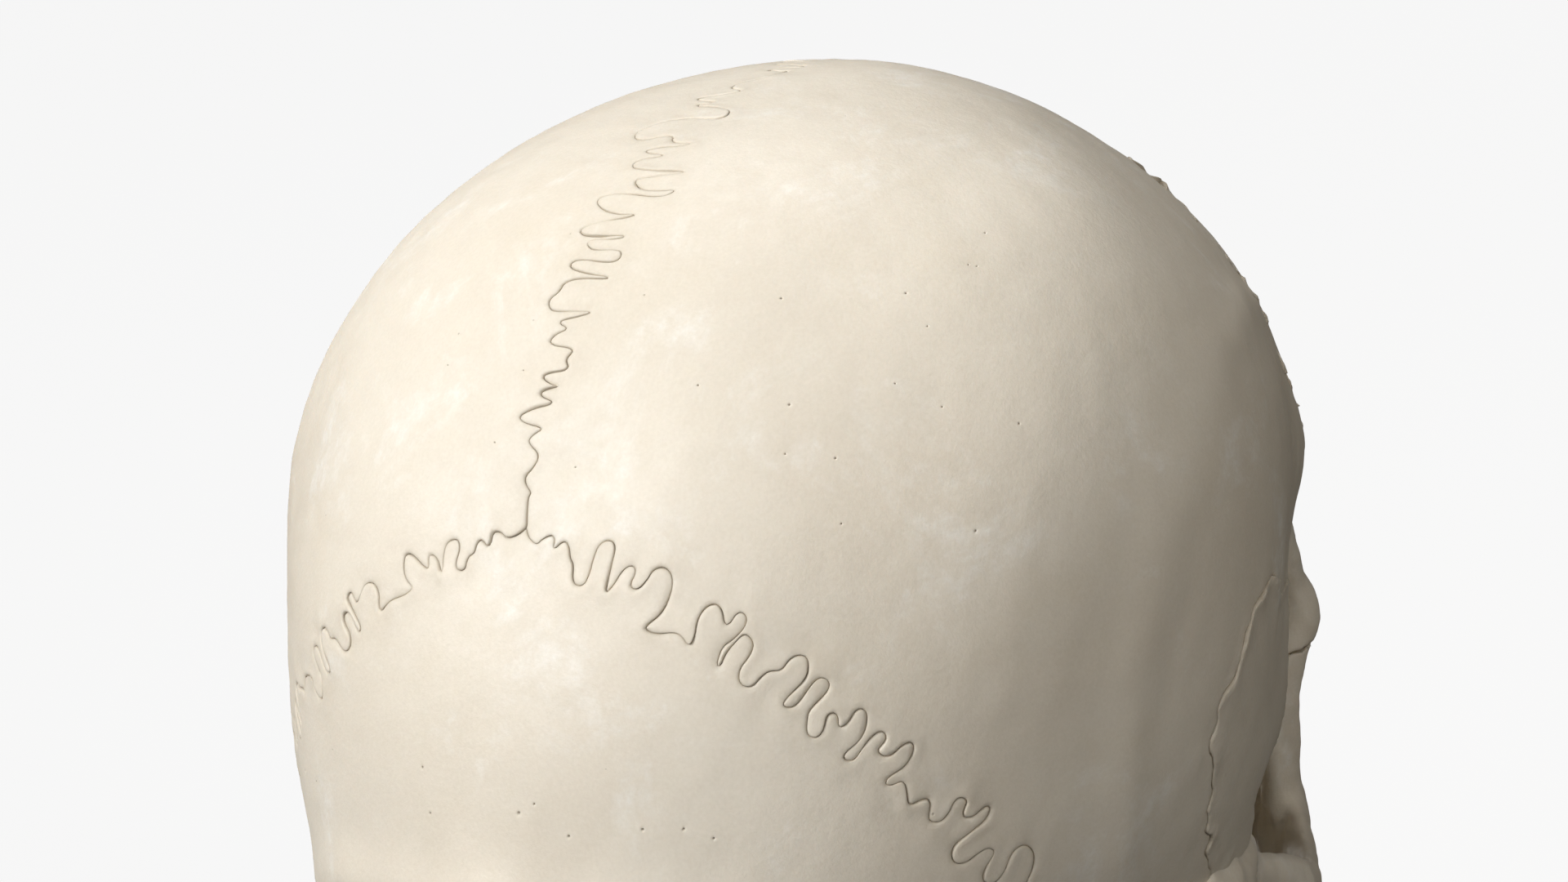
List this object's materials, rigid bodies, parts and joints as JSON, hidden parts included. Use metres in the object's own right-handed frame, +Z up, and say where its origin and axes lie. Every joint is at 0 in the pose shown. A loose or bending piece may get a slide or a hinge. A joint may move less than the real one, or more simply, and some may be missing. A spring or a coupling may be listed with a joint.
{
  "type": "anatomical skull model",
  "caption": "Classroom skull model that comes apart into its bones: vault and cheek bones pull off along their sutures, the lower jaw hinges, and the teeth sit in sockets.",
  "frame": {"origin": "on the table, under the middle of the skull's box, with the skull resting on its chin and the back of its head", "axes": "+Z up; +Y towards the back of the head, level with the table; +X to the skull's own left"},
  "size_m": [0.1402, 0.2124, 0.1643],
  "materials": {
    "bone": "matte ivory with faint mottling and fine pores",
    "tooth": "satin enamel"
  },
  "bodies": {
    "skull": {"ethmoid": "bone", "inferior_concha_left": "bone", "inferior_concha_right": "bone", "lacrimal_left": "bone", "lacrimal_right": "bone", "maxilla_left": "bone", "maxilla_right": "bone", "nasal_left": "bone", "nasal_right": "bone", "occipital": "bone", "palatine_left": "bone", "palatine_right": "bone", "sphenoid": "bone", "temporal_left": "bone", "temporal_right": "bone", "upper_canine_left": "tooth", "upper_canine_right": "tooth", "upper_central_incisor_left": "tooth", "upper_central_incisor_right": "tooth", "upper_first_molar_left": "tooth", "upper_first_molar_right": "tooth", "upper_first_premolar_left": "tooth", "upper_first_premolar_right": "tooth", "upper_lateral_incisor_left": "tooth", "upper_lateral_incisor_right": "tooth", "upper_second_molar_left": "tooth", "upper_second_molar_right": "tooth", "upper_second_premolar_left": "tooth", "upper_second_premolar_right": "tooth", "upper_third_molar_left": "tooth", "upper_third_molar_right": "tooth", "vomer": "bone"},
    "frontal_bone": {"frontal": "bone"},
    "parietal_bone_right": {"parietal_right": "bone"},
    "parietal_bone_left": {"parietal_left": "bone"},
    "cheek_bone_right": {"zygomatic_right": "bone"},
    "cheek_bone_left": {"zygomatic_left": "bone"},
    "lower_jaw": {"mandible": "bone", "lower_canine_left": "tooth", "lower_canine_right": "tooth", "lower_central_incisor_left": "tooth", "lower_central_incisor_right": "tooth", "lower_first_molar_left": "tooth", "lower_first_molar_right": "tooth", "lower_first_premolar_left": "tooth", "lower_first_premolar_right": "tooth", "lower_lateral_incisor_left": "tooth", "lower_lateral_incisor_right": "tooth", "lower_second_molar_left": "tooth", "lower_second_molar_right": "tooth", "lower_second_premolar_left": "tooth", "lower_second_premolar_right": "tooth", "lower_third_molar_left": "tooth", "lower_third_molar_right": "tooth"}
  },
  "joints": [
    {"name": "jaw", "type": "hinge", "parent": "skull", "child": "lower_jaw", "pos_m": [0, -0.00295, 0.04803], "axis": [1, 0, 0], "range_deg": [0, 24]},
    {"name": "frontal_off", "type": "slide", "parent": "skull", "child": "frontal_bone", "axis": [0, -0.4292, 0.9032], "range_m": [0, 0.06]},
    {"name": "parietal_right_off", "type": "slide", "parent": "skull", "child": "parietal_bone_right", "axis": [-0.4602, 0.8054, 0.3736], "range_m": [0, 0.05]},
    {"name": "parietal_left_off", "type": "slide", "parent": "skull", "child": "parietal_bone_left", "axis": [0.4602, 0.8054, 0.3736], "range_m": [0, 0.05]},
    {"name": "cheek_right_off", "type": "slide", "parent": "skull", "child": "cheek_bone_right", "axis": [-0.8055, -0.5817, 0.1133], "range_m": [0, 0.03]},
    {"name": "cheek_left_off", "type": "slide", "parent": "skull", "child": "cheek_bone_left", "axis": [0.8055, -0.5817, 0.1133], "range_m": [0, 0.03]}
  ]
}
